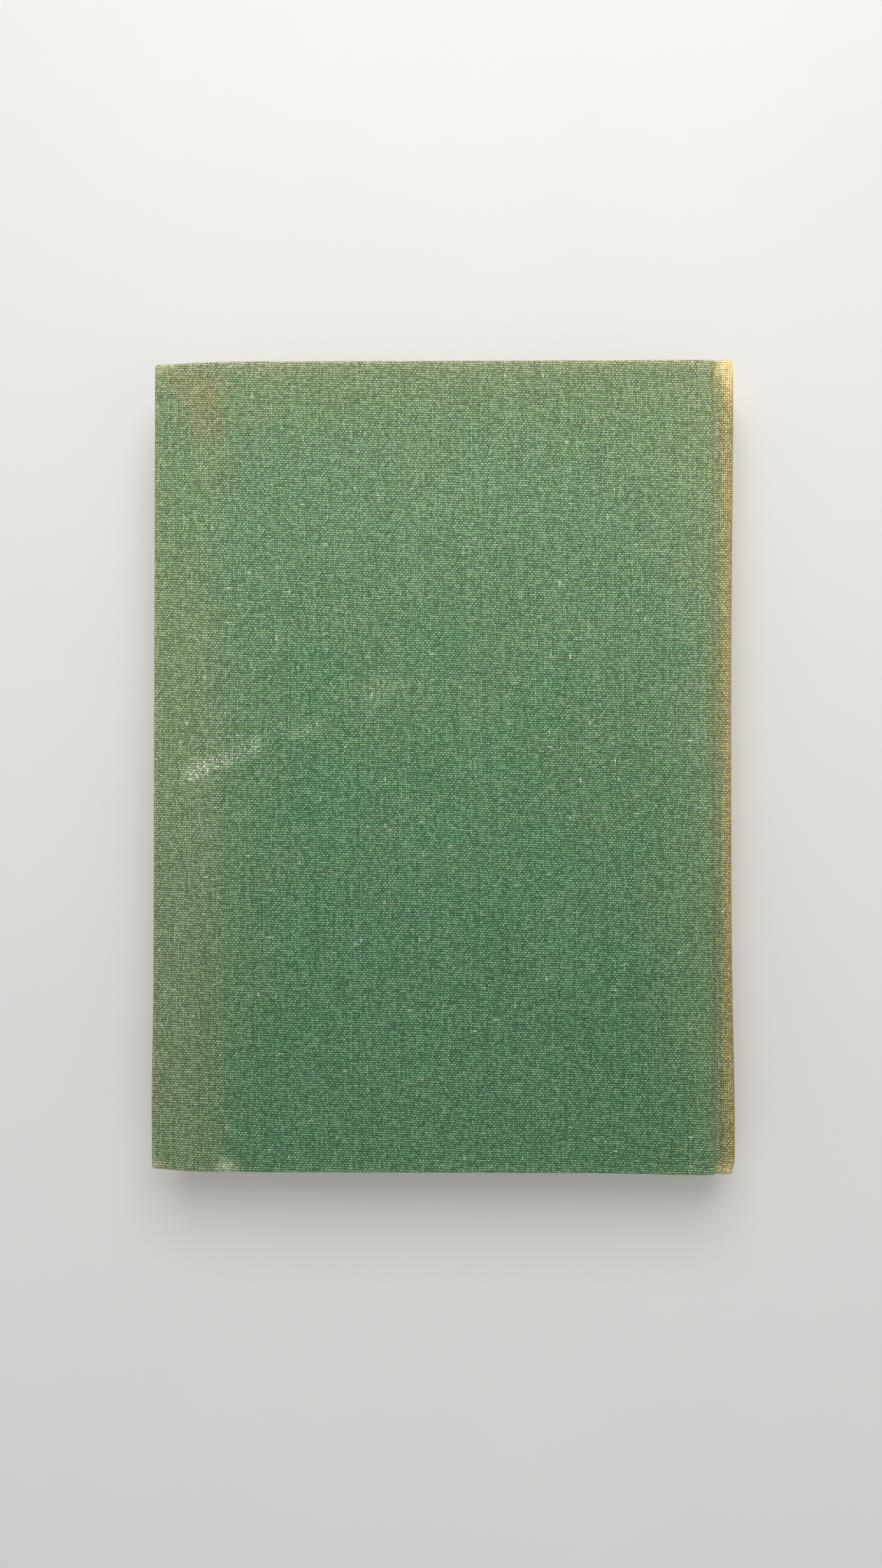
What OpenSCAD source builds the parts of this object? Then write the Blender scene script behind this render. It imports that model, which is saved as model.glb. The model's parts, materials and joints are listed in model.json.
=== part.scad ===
// A hardback book in a cloth case binding, lying closed on its front cover.
// X runs from the fore-edge to the spine, Y from the tail to the head, Z up through
// the thickness. The origin is the middle of the face that the book rests on.
// Sections are drawn as [x, w], where w is the height above the middle leaf.

/* [Pages] */
// Width of a leaf, from its fold in the spine to the fore-edge
page_w = 148.5; // [100:0.5:220]
// Height of a leaf
page_h = 210; // [150:1:300]
// Thickness of all the leaves pressed together
block_t = 14; // [8:0.5:30]
// How far the spine is rounded, and the fore-edge hollowed with it
round_rise = 1.5; // [1:0.1:2]
// Height of the folded-over shoulder above the leaves
shoulder_h = 2; // [1.5:0.05:2.1]
// Width of the shoulder's flat crest
shoulder_w = 0.5; // [0.3:0.05:0.8]
// Thickness of the endpapers
endpaper_t = 0.2; // [0.1:0.05:0.25]

/* [Case] */
// How far the covers stand past the leaves at head, tail and fore-edge
square_w = 3; // [2:0.25:5]
// Thickness of the cover boards
board_t = 2.2; // [2:0.1:3]
// Thickness of the bookcloth
cloth_t = 0.35; // [0.2:0.05:0.4]
// Width of the cloth turned in round the boards
turn_in = 15; // [10:1:20]
// Slit left along each mitred corner of the turned-in cloth
mitre_gap = 0.2; // [0.1:0.05:0.5]
// Radius of the cloth over the boards' long edges
edge_r = 0.6; // [0.45:0.05:0.9]
// Radius of the boards' two outer corners
corner_r = 0.9; // [0.5:0.1:3]
// Thickness of the card in the spine
inlay_t = 0.6; // [0.4:0.05:0.8]
// Width of the card in the spine
inlay_w = 16; // [8:0.5:17]

/* [Joint] */
// From the outermost line of the spine to the valley of the joint
joint_in = 5.2; // [4.9:0.1:5.6]
// Depth of the valley below the cover's face
joint_d = 1; // [0.6:0.1:1.2]
// From the valley to the board's edge
joint_board = 1.9; // [1.7:0.1:2.6]
// From the valley to the crest of the shoulder
joint_crest = 1.3; // [1.1:0.05:1.4]
// How far the crest lies below the cover's face
crest_drop = 0.3; // [0.2:0.05:0.4]
// Radius where the cloth rolls over from the crest to the spine
crest_r = 1; // [0.8:0.1:1.4]

/* [Linings] */
// Thickness of the open-weave mull glued to the spine
mull_t = 0.25; // [0.1:0.05:0.3]
// How far the mull stops short of the turned-in cloth at head and tail
mull_in = 3; // [0.5:0.5:30]
// Width of the mull's flap on each board
mull_flap = 22; // [12:1:30]
// Thickness of the paper glued over the mull
lining_t = 0.2; // [0.1:0.05:0.3]
// Width of that paper
lining_w = 16.5; // [10:0.5:17.5]
// How far that paper stops short of the head and the tail
lining_in = 2; // [1:0.5:10]
// Hollow between the lined leaves and the card in the spine
hollow_t = 0.6; // [0.55:0.05:1]
// How far endpaper and mull run up the board's edge in the joint
edge_lap = 1.2; // [0.8:0.1:1.3]

/* [Bands] */
// Radius of the bead at the head and the tail of the spine
band_r = 0.8; // [0.5:0.1:0.9]
// How far the bead is set into the leaves from the spine's surface
band_in = 0.2; // [0.1:0.05:0.4]
// From the mull to the end of the tape that carries the bead
tape_in = 4; // [0.5:0.5:6]
// Thickness of that tape
band_tape_t = 0.2; // [0.1:0.05:0.25]

/* [Clearances] */
// Air between the flyleaf and the closed cover
leaf_gap = 0.15; // [0.1:0.05:0.3]
// Slot in the valley, between the cloth of the spine and of the cover
hinge_gap = 0.3; // [0.2:0.05:0.5]

/* [Hidden] */
$fn = 96;
// Straight steps in a fillet's quarter turn, and in the spine's round
fillet_n = 4;
spine_n = 36;
// How far a cutting shape reaches past what it cuts
over = 1;

// Heights above the middle leaf: the leaves, the inside of the turned-in cloth,
// the boards' inside, the covers' faces
leaf_w = block_t / 2;
inner_w = leaf_w + endpaper_t + leaf_gap + endpaper_t;
board_w = inner_w + cloth_t;
face_w = board_w + board_t + cloth_t;
crest_w = face_w - crest_drop;
valley_w = face_w - joint_d;
top_w = leaf_w + shoulder_h;

// The leaves set the covers' size
spine_stack = mull_t + lining_t + hollow_t + inlay_t + cloth_t;
book_w = square_w + round_rise + page_w + spine_stack;
book_h = page_h + 2 * square_w;
spine_x = book_w / 2;
fore_x = -book_w / 2;
leaf_x = fore_x + square_w;
mull_len = book_h - 2 * (turn_in + mull_in);
tape_h = (page_h - mull_len) / 2 - tape_in;
joint_x = spine_x - joint_in;
board_x = joint_x - joint_board;

// Arcs of the leaves at the spine and the fore-edge
spine_r = arc_r(top_w, round_rise);
spine_c = [spine_x - spine_stack - spine_r, 0];
fore_r = arc_r(leaf_w, round_rise);
fore_c = [leaf_x + round_rise - fore_r, 0];
shoulder_x = spine_x - spine_stack - round_rise - shoulder_w;
shoulder_c = [shoulder_x - shoulder_h, top_w];

// Arcs of the cloth: out of the valley on both sides, over the crest, round the spine
cloth_r = spine_r + spine_stack;
rise_h = crest_w - valley_w;
rise_r = swing_r(joint_crest, rise_h);
rise_a = swing_a(joint_crest, rise_h);
fall_r = swing_r(joint_board, joint_d);
fall_a = swing_a(joint_board, joint_d);
roll_w = crest_w - crest_r;
roll_a = asin(roll_w / (cloth_r - crest_r));
roll_c = spine_c + (cloth_r - crest_r) * [cos(roll_a), sin(roll_a)];
inlay_a = inlay_w / 2 / (cloth_r - cloth_t) * 180 / PI;
wrap_a = inlay_a + cloth_t / (cloth_r - cloth_t) * 180 / PI;

// Radius of an arc from half its chord and its rise
function arc_r(half, rise) = (half * half + rise * rise) / (2 * rise);
// Radius and turn of the two equal arcs of an S that moves over by run and up by step
function swing_r(run, step) = (run * run + step * step) / (4 * step);
function swing_a(run, step) = 2 * atan(step / run);
function arc(c, r, a0, a1, n) =
    [for (i = [0:n]) let (a = a0 + (a1 - a0) * i / n) c + r * [cos(a), sin(a)]];
function reversed(p) = [for (i = [len(p) - 1:-1:0]) p[i]];
function below(p) = [for (q = reversed(p)) [q[0], -q[1]]];
// An arc about the spine's centre whose flats touch the true circle of radius r
function spine_arc(r, a) = arc(spine_c, r / cos(a / spine_n), a, -a, spine_n);

// The cloth from the valley to where the spine's round starts, at depth t in it
function shoulder_path(t) = concat(
    arc([joint_x, valley_w + rise_r], rise_r + t,
        asin(hinge_gap / 2 / (rise_r + t)) - 90, rise_a - 90, fillet_n),
    arc([joint_x + joint_crest, crest_w - rise_r], rise_r - t, 90 + rise_a, 90, fillet_n),
    arc(roll_c, crest_r - t, 90, roll_a, fillet_n)
);
// The whole cloth over the spine, at depth t
function spine_path(t) = concat(
    shoulder_path(t), spine_arc(cloth_r - t, inlay_a), below(shoulder_path(t))
);
// The inside of the turned-in cloth: two layers, and round the card between them
function turned_path() = concat(
    shoulder_path(2 * cloth_t),
    [spine_c + (cloth_r - 2 * cloth_t) * [cos(wrap_a), sin(wrap_a)]],
    spine_arc(cloth_r - 2 * cloth_t - inlay_t, wrap_a),
    [spine_c + (cloth_r - 2 * cloth_t) * [cos(wrap_a), -sin(wrap_a)]],
    below(shoulder_path(2 * cloth_t))
);
// The cloth from the valley to the board's edge, at depth t
function fall_path(t) = concat(
    arc([joint_x, valley_w + fall_r], fall_r + t,
        -90 - asin(hinge_gap / 2 / (fall_r + t)), -90 - fall_a, fillet_n),
    arc([board_x, face_w - fall_r], fall_r - t, 90 - fall_a, 90, fillet_n)
);

// A section carried along the spine, over a length centred on the book
module along(length) {
    rotate([90, 0, 0])
        linear_extrude(length, center = true)
            children();
}
// The back cover and the leaves are drawn above the middle leaf; the front is a mirror image
module upper() {
    translate([0, 0, face_w])
        children();
}
module lower() {
    upper()
        mirror([0, 0, 1])
            children();
}
// A curved layer over the spine, between two radii and as wide as w
module spine_layer(r0, r1, w) {
    translate(spine_c)
        intersection() {
            difference() {
                circle(r1);
                circle(r0);
            }
            translate([0, -w / 2])
                square([r1 + over, w]);
        }
}
// A half-round band about the spine's axis, from its [radius, y] profile
module around_spine(a) {
    translate([spine_c[0], 0, 0])
        rotate([-90, 0, 0])
            rotate([0, 0, -a])
                rotate_extrude(angle = 2 * a)
                    children();
}

// Leaves with a hollowed fore-edge, a rounded spine and shoulders folded over both ways
module leaves() {
    half = concat(
        [[leaf_x - over, leaf_w]],
        arc(shoulder_c, shoulder_h, -90, 0, 2 * fillet_n),
        [[spine_x, top_w]]
    );
    along(page_h)
        difference() {
            polygon(concat(half, below(half)));
            translate(fore_c)
                circle(fore_r);
            difference() {
                translate([spine_c[0], -top_w - over])
                    square([spine_r + over + spine_stack, 2 * (top_w + over)]);
                translate(spine_c)
                    circle(spine_r);
            }
        }
}
// The free endpaper lies on the leaves and runs up the shoulder to its crest
module flyleaf() {
    along(page_h)
        polygon(concat(
            [[leaf_x, leaf_w]],
            arc(shoulder_c, shoulder_h, -90, 0, 2 * fillet_n),
            arc(shoulder_c, shoulder_h - endpaper_t, 0, -90, 2 * fillet_n),
            [[leaf_x, leaf_w + endpaper_t]]
        ));
}
// Mull on the spine, lapped over the crest of both shoulders
module mull() {
    along(mull_len)
        difference() {
            intersection() {
                translate(spine_c)
                    circle(spine_r + mull_t);
                translate([shoulder_x, -top_w - mull_t])
                    square([spine_stack + round_rise + shoulder_w, 2 * (top_w + mull_t)]);
            }
            intersection() {
                translate(spine_c)
                    circle(spine_r);
                translate([shoulder_x - over, -top_w])
                    square([spine_stack + round_rise + shoulder_w + over, 2 * top_w]);
            }
        }
}
// The bead sits on the leaves' head, and its tape is glued to the spine below it
module band() {
    bead_y = page_h / 2 + band_r;
    around_spine(asin((top_w - shoulder_w) / spine_r)) {
        translate([spine_r - band_in, bead_y])
            circle(band_r);
        translate([spine_r, page_h / 2 - tape_h])
            square([band_tape_t, tape_h + band_r]);
    }
}
module inlay_section() {
    polygon(concat(
        spine_arc(cloth_r - cloth_t, inlay_a),
        reversed(spine_arc(cloth_r - cloth_t - inlay_t, inlay_a))
    ));
}
// Cloth over the spine, from valley to valley, turned in round the card at head and tail
module spine_cover() {
    difference() {
        along(book_h)
            polygon(concat(spine_path(0), reversed(turned_path())));
        along(book_h - 2 * cloth_t)
            inlay_section();
        along(book_h - 2 * turn_in)
            polygon(spine_path(cloth_t));
    }
}

// A plate's rounded edges and corners, set in from the cloth's outside
module plate_edges(inset) {
    half_h = book_h / 2 - inset;
    r = max(edge_r - inset, 0.1);
    turn_r = max(corner_r - inset, 0.1);
    low = inner_w + inset;
    high = face_w - inset;
    corner = arc([fore_x + inset + turn_r, half_h - turn_r], turn_r, 180, 90, fillet_n);
    side = concat(
        arc([half_h - r, high - r], r, 90, 0, fillet_n),
        arc([half_h - r, low + r], r, 0, -90, fillet_n)
    );
    intersection() {
        children();
        rotate([90, 0, 90])
            linear_extrude(book_w, center = true)
                polygon(concat(side, [for (p = reversed(side)) [-p[0], p[1]]]));
        linear_extrude(face_w + over)
            polygon(concat(corner, [[spine_x, half_h], [spine_x, -half_h]], below(corner)));
    }
}
// The fore-edge of a plate, rounded above and below
function plate_fore(inset) = let (r = max(edge_r - inset, 0.1), x = fore_x + inset + r)
    concat(
        arc([x, face_w - inset - r], r, 90, 180, fillet_n),
        arc([x, inner_w + inset + r], r, 180, 270, fillet_n)
    );
module board() {
    plate_edges(cloth_t)
        along(book_h)
            polygon(concat(
                plate_fore(cloth_t),
                [[board_x, board_w], [board_x, face_w - cloth_t]]
            ));
}
// What lies under the joint's cloth, right of x0 and deeper than t
module under_joint(t, x0) {
    path = fall_path(t);
    intersection() {
        polygon(concat(
            [[joint_x, 0], [joint_x, path[0][1]]], path,
            [[board_x - over, face_w - t], [board_x - over, 0]]
        ));
        translate([x0, 0])
            square([joint_x, face_w]);
    }
}
// Slits where the turned-in cloth meets at the mitred corners
module mitres() {
    start = corner_r + edge_r;
    for (side = [-1, 1])
        translate([fore_x, side * book_h / 2, inner_w - over])
            rotate([0, 0, -side * 45])
                translate([start, -mitre_gap / 2, 0])
                    cube([turn_in * sqrt(2) + mitre_gap - start, mitre_gap, cloth_t + over]);
}
// Cloth over a board and half the joint, turned in at head, tail and fore-edge
module cover_cloth() {
    difference() {
        plate_edges(0)
            along(book_h)
                difference() {
                    polygon(concat(fall_path(0), plate_fore(0), [[joint_x, inner_w]]));
                    under_joint(2 * cloth_t, board_x + cloth_t);
                    translate([joint_x - hinge_gap / 2, 0])
                        square([over, face_w]);
                }
        board();
        along(book_h - 2 * turn_in)
            polygon(concat(
                [[joint_x, 0], [joint_x, fall_path(cloth_t)[0][1]]], fall_path(cloth_t),
                [[board_x, board_w], [fore_x + turn_in, board_w], [fore_x + turn_in, 0]]
            ));
        mitres();
    }
}
// Flap of the mull on the board's inside, run up the board's edge
module flap() {
    along(mull_len)
        polygon([
            [board_x - mull_flap, board_w], [board_x - mull_flap, board_w - mull_t],
            [board_x + mull_t, board_w - mull_t], [board_x + mull_t, board_w + edge_lap],
            [board_x, board_w + edge_lap], [board_x, board_w]
        ]);
}
// A flat box that lies from depth d0 to d1 inside the board's inner face
module inside(x0, x1, height, d0, d1) {
    translate([x0, -height / 2, board_w - d1])
        cube([x1 - x0, height, d1 - d0]);
}
// The glued-down endpaper steps over the turned-in cloth and the mull, which show as ridges
module pastedown() {
    edge_x = board_x + cloth_t;
    window_h = book_h - 2 * turn_in;
    window_x = fore_x + turn_in;
    flap_x = board_x - mull_flap;
    difference() {
        union() {
            inside(leaf_x, edge_x + endpaper_t, page_h, 0, cloth_t + endpaper_t);
            inside(edge_x, edge_x + endpaper_t, page_h, -edge_lap, cloth_t);
        }
        difference() {
            inside(leaf_x - over, edge_x, page_h + over, -over, cloth_t);
            inside(window_x, edge_x + over, window_h, -2 * over, cloth_t + over);
        }
        inside(flap_x, edge_x, mull_len, -over, mull_t);
        inside(window_x + endpaper_t, flap_x - endpaper_t, window_h - 2 * endpaper_t,
            endpaper_t, cloth_t + endpaper_t + over);
        inside(flap_x - 2 * endpaper_t, edge_x, mull_len,
            mull_t + endpaper_t, cloth_t + endpaper_t + over);
    }
}

module text_block() {
    color("antiquewhite") upper() leaves();
}
module back_flyleaf() {
    color("ivory") upper() flyleaf();
}
module front_flyleaf() {
    color("ivory") lower() flyleaf();
}
module spine_mull() {
    color("beige") upper() mull();
}
module spine_lining() {
    color("burlywood") upper()
        along(page_h - 2 * lining_in)
            spine_layer(spine_r + mull_t, spine_r + mull_t + lining_t, lining_w);
}
module head_band() {
    color("darkseagreen") upper() band();
}
module tail_band() {
    color("darkseagreen") upper() mirror([0, 1, 0]) band();
}
module spine_inlay() {
    color("tan") upper() along(book_h - 2 * cloth_t) inlay_section();
}
module spine_cloth() {
    color("darkkhaki") upper() spine_cover();
}
module back_board() {
    color("tan") upper() board();
}
module back_cloth() {
    color("seagreen") upper() cover_cloth();
}
module back_mull_flap() {
    color("beige") upper() flap();
}
module back_pastedown() {
    color("ivory") upper() pastedown();
}
module front_board() {
    color("tan") lower() board();
}
module front_cloth() {
    color("seagreen") lower() cover_cloth();
}
module front_mull_flap() {
    color("beige") lower() flap();
}
module front_pastedown() {
    color("ivory") lower() pastedown();
}

text_block();
back_flyleaf();
front_flyleaf();
spine_mull();
spine_lining();
head_band();
tail_band();
spine_inlay();
spine_cloth();
back_board();
back_cloth();
back_mull_flap();
back_pastedown();
front_board();
front_cloth();
front_mull_flap();
front_pastedown();
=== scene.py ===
import json
import math

import bpy
import numpy as np
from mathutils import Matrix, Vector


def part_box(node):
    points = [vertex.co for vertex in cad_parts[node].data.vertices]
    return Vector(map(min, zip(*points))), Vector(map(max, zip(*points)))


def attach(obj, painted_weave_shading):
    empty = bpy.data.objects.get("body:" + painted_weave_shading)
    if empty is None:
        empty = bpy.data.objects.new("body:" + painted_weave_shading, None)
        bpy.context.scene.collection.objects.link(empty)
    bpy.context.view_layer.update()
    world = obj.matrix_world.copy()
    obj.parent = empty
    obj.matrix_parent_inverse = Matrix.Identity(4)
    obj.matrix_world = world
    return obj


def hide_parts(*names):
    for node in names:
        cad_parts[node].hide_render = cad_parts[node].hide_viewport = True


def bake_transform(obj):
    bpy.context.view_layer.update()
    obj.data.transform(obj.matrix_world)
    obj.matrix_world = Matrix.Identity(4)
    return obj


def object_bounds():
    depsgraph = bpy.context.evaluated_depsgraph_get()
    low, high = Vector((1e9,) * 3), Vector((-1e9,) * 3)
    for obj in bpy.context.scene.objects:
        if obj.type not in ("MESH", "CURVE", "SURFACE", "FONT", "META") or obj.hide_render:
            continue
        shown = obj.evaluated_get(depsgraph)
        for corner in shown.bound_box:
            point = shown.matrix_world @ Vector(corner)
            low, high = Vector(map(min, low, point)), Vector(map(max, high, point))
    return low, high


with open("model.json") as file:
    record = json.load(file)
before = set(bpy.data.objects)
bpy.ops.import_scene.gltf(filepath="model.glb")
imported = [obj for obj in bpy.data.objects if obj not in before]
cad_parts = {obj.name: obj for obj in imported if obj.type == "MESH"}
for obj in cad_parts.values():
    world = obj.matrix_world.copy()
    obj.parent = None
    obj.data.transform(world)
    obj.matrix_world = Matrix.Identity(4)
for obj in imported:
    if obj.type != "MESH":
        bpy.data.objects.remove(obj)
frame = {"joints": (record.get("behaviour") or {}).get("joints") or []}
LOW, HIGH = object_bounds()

bl_info = {
    "name": "Hardback book",
    "version": (1, 0, 0),
    "blender": (4, 5, 0),
    "location": "3D View > Sidebar > Book",
    "description": "Cloth, boards, endpapers, leaves and bands of a cloth-bound book on its fixed frame",
    "category": "Add Mesh",
}

# Shapes are worked out in millimetres, with heights w above the middle leaf
MM = 0.001
MIDDLE = np.array([0, 0, HIGH[2] / 2 / MM])


def frame_box(node):
    """Lowest and highest corner of a node of the frame, in millimetres, as [x, y, w]."""
    return [np.array(corner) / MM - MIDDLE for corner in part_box(node)]


# Places and thicknesses that the frame holds
FORE_X, SPINE_X, HALF_H = LOW[0] / MM, HIGH[0] / MM, HIGH[1] / MM
FACE_W = MIDDLE[2]
JOINT_X = frame["joints"][0]["pos_m"][0] / MM
LEAVES_LOW, LEAVES_HIGH = frame_box("text_block")
BOARD_LOW, BOARD_HIGH = frame_box("back_board")
FLAP_LOW, FLAP_HIGH = frame_box("back_mull_flap")
INLAY_HIGH = frame_box("spine_inlay")[1]
TAPE_Y = frame_box("head_band")[0][1]
LEAF_X, PAGE_HALF, TOP_W = LEAVES_LOW[0], LEAVES_HIGH[1], LEAVES_HIGH[2]
LEAF_W = frame_box("back_flyleaf")[0][2]
BOARD_X, BOARD_W = BOARD_HIGH[0], BOARD_LOW[2]
CLOTH_T = FACE_W - BOARD_HIGH[2]
INNER_W = BOARD_W - CLOTH_T
STACK = SPINE_X - LEAVES_HIGH[0]
PAPER_T = INNER_W - frame_box("back_pastedown")[0][2]
MULL_T = BOARD_W - FLAP_LOW[2]


def length(name, description, default):
    """A size that a user may change, in metres, from its value in millimetres."""
    return bpy.props.FloatProperty(
        name=name, description=description, default=default * MM, min=0, unit="LENGTH", precision=5)


def colour(name, thing, default):
    """The colour of a thing, which a user may change, as linear red, green and blue."""
    return bpy.props.FloatVectorProperty(
        name=name, description="Colour of " + thing, default=default, subtype="COLOR", size=3, min=0, max=1)


def number(name, description, default):
    """A plain number that a user may change."""
    return bpy.props.FloatProperty(name=name, description=description, default=default, min=0)


def angle(name, description, degrees):
    """An angle that a user may change, from its value in degrees."""
    return bpy.props.FloatProperty(
        name=name, description=description, default=math.radians(degrees), subtype="ANGLE")


class CaseSizes(bpy.types.PropertyGroup):
    """The case: how its cloth bends round boards, joints and spine."""

    spine_rise: length("Spine rise", "How far the spine of the leaves is rounded", 1.5)
    shoulder: length("Shoulder", "Radius of the shoulder's hollow", 2)
    shoulder_crest: length("Shoulder crest", "Width of the shoulder's flat crest", 0.5)
    joint_depth: length("Joint depth", "Depth of the joint's valley below the face", 1)
    joint_crest: length("Valley to crest", "From the valley to the crest of the shoulder", 1.3)
    crest_drop: length("Crest drop", "How far the crest lies below the cover's face", 0.3)
    crest_radius: length("Crest radius", "Radius where the cloth rolls over to the spine", 1)
    inlay: length("Spine card", "Thickness of the card in the spine", 0.6)
    edge_radius: length("Edge radius", "Radius of the cloth over the boards' edges", 0.6)
    corner_radius: length("Corner radius", "Radius of the covers' outer corners", 0.9)
    turn_in: length("Turn-in", "Width of the cloth turned in round the boards", 15)
    mitre: length("Mitre", "Slit along each mitred corner of the turned-in cloth", 0.2)
    grid: length("Grid", "Spacing of the mesh on the flat of the covers", 2.2)


class ClothLooks(bpy.types.PropertyGroup):
    """The bookcloth's threads and colours."""

    warp: length("Warp pitch", "From one warp thread to the next, across the cover", 0.466)
    weft: length("Weft pitch", "From one weft thread to the next, along the cover", 0.607)
    slope: number("Weft slope", "How far the weft drops for each length across", 0.035)
    relief: length("Relief", "Height of the weave", 0.05)
    dyed: colour("Dyed", "the cloth where it is little faded", (0.058, 0.142, 0.069))
    faded: colour("Faded", "cloth that is faded, as along its edges", (0.31, 0.265, 0.132))
    sunned: colour("Sunned", "the spine, which light reached on the shelf", (0.29, 0.203, 0.078))
    bleached: colour("Bleached", "the spine at its head", (0.8, 0.56, 0.26))
    stain: colour("Stain", "the brown stain", (0.215, 0.165, 0.08))
    sunned_tail: colour("Sunned tail", "the spine at its tail", (0.285, 0.195, 0.066))
    worn: colour("Worn", "threads whose dye is rubbed off", (0.64, 0.57, 0.38))
    scuffed: colour("Scuffed", "bare fibres in a scuff", (0.6, 0.63, 0.5))
    # Pale nap fibres, also used as the painted highlight on the threads' crowns
    nap_and_highlight: colour("Nap", "the fibres that stand up from the threads", (0.5, 0.56, 0.45))


class LeafLooks(bpy.types.PropertyGroup):
    """The leaves and endpapers."""

    leaves: bpy.props.IntProperty(name="Leaves", description="Leaves in the block", default=140, min=8)
    section: bpy.props.IntProperty(
        name="Leaves in a section", description="Leaves folded and sewn together", default=8, min=1)
    uneven: length("Uneven", "How unevenly the leaves' edges lie", 0.05)
    paper: colour("Paper", "the leaves", (0.72, 0.64, 0.48))
    toned: colour("Toned", "the leaves' edges", (0.62, 0.52, 0.35))
    endpaper: colour("Endpaper", "the endpapers", (0.76, 0.69, 0.54))


class BandLooks(bpy.types.PropertyGroup):
    """The sewn bands at head and tail."""

    bead: length("Bead", "Radius of the bead", 0.8)
    set_in: length("Set in", "How far the bead is set into the leaves", 0.2)
    stripe: length("Stripe", "Width of a stripe of one colour", 0.96)
    thread: length("Thread", "Width of one turn of thread", 0.24)
    light: colour("Light thread", "the light thread", (0.7, 0.64, 0.48))
    dark: colour("Dark thread", "the dark thread", (0.1, 0.2, 0.1))


class InnerLooks(bpy.types.PropertyGroup):
    """The boards, the mull, and what lines and stiffens the spine."""

    board: colour("Board", "the boards and of the card in the spine", (0.36, 0.32, 0.26))
    kraft: colour("Kraft paper", "the paper that lines the spine", (0.42, 0.3, 0.18))
    threads: colour("Mull", "the mull's threads", (0.66, 0.61, 0.48))
    gap: colour("Gap", "the gaps between the mull's threads", (0.3, 0.26, 0.19))
    pitch: length("Mull pitch", "From one thread of the mull to the next", 1.1)


class StageLooks(bpy.types.PropertyGroup):
    """The floor, the light and the camera."""

    floor: colour("Floor", "the floor", (0.8, 0.79, 0.77))
    pale: colour("Pale", "the far floor and of all that lies behind it", (0.72, 0.71, 0.69))
    near: length("Lit floor", "How far out the floor is only lit", 260)
    far: length("Pale floor", "How far out the floor shows only the pale tone", 800)
    sky: number("Sky", "Strength of the even light from all round", 0.52)
    key: number("Key", "Power of the soft lamp above the head of the book, in watts", 3)
    lamp: length("Lamp", "Side of the square lamp", 500)
    lamp_aside: length("Lamp aside", "How far the lamp stands off to the spine", 20)
    lamp_out: length("Lamp out", "How far the lamp stands off to the head", 420)
    lamp_up: length("Lamp up", "How far the lamp stands above the floor", 550)
    lens: number("Lens", "Focal length, on a frame whose long side is 36 mm", 27)
    distance: length("Distance", "From the camera to the upper cover's face", 312.2)
    aside: length("Camera aside", "How far the camera stands off to the spine", 1.95)
    below: length("Camera below", "How far the camera stands off to the tail", 8.27)
    tilt: angle("Tilt", "How far the camera looks towards the head", 0.6)
    lean: angle("Lean", "How far the camera looks towards the fore-edge", 0.54)


def arc(centre, radius, start, end, count):
    """Points of a circle: its centre plus the radius times the cosine and sine of even angles."""
    turn = np.radians(np.linspace(start, end, count))
    return np.array(centre) + radius * np.stack([np.cos(turn), np.sin(turn)], 1)


def swing(run, rise):
    """Radius and turn of the two equal arcs of an S that moves over by run and up by rise."""
    return (run ** 2 + rise ** 2) / (4 * rise), math.degrees(2 * math.atan(rise / run))


def round_of(half, rise):
    """Radius of a circle from half its chord and its rise."""
    return (half ** 2 + rise ** 2) / (2 * rise)


def ease(value, low, high):
    """0 below low, 1 above high, and between them three squares less two cubes of the share."""
    share = np.clip((np.asarray(value, float) - low) / (high - low), 0, 1)
    return share * share * (3 - 2 * share)


def from_edge(radius, reach, step):
    """Distances from a rounded edge: even quarters of its radius, then growing, then even steps."""
    growing = radius + np.array([0.3, 0.9, 1.8, 3.2, 5.2, 7.4])
    even = np.linspace(growing[-1], reach, 2 + int((reach - growing[-1]) / step))
    return np.concatenate([np.linspace(0, radius, 5), growing, even[1:]])


def along_book(half, radius, step):
    """Places from tail to head, closer together towards both ends."""
    inwards = from_edge(radius, half, step)
    return np.concatenate([inwards - half, (half - inwards)[-2::-1]])


def spans(*parts):
    """Places in even steps, one span after another, each given by its two ends and its count."""
    return np.concatenate([np.linspace(*part) for part in parts])


def run_of(path):
    """How far along a path each of its points lies."""
    return np.concatenate([[0], np.cumsum(np.linalg.norm(np.diff(path, axis=0), axis=1))])


class Section:
    """The case from its fore-edge to the middle of the spine: for each column a pair of [x, w] points,
    on the cloth's outside and on the inside of its turned-in layer, and the length run to it."""

    def __init__(self, outer, inner):
        outer, inner = np.concatenate(outer), np.concatenate(inner)
        run = run_of(outer)
        kept = np.append(True, np.diff(run) > 1e-6)
        self.outer, self.inner, self.run = outer[kept], inner[kept], run[kept]
        self.depth = np.linalg.norm(self.outer - self.inner, axis=1)

    def along(self, run, values):
        """Values given at the columns, read off at any run."""
        return np.interp(run, self.run, values)

    def at(self, run, depth):
        """x and w at a depth on the straight line from the outer path to the inner one."""
        share = depth / self.along(run, self.depth)
        return [
            self.along(run, self.outer[:, i]) * (1 - share) + self.along(run, self.inner[:, i]) * share
            for i in (0, 1)]


def spine_circle(case):
    """Centre and radius of the circle of the leaves' spine, which the case runs round."""
    radius = round_of(TOP_W, case.spine_rise / MM)
    return np.array([LEAVES_HIGH[0] - radius, 0]), radius


def shoulder_x(case):
    """x of the shoulder's crest, where the rounded spine of the leaves starts."""
    return LEAVES_HIGH[0] - (case.spine_rise + case.shoulder_crest) / MM


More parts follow.
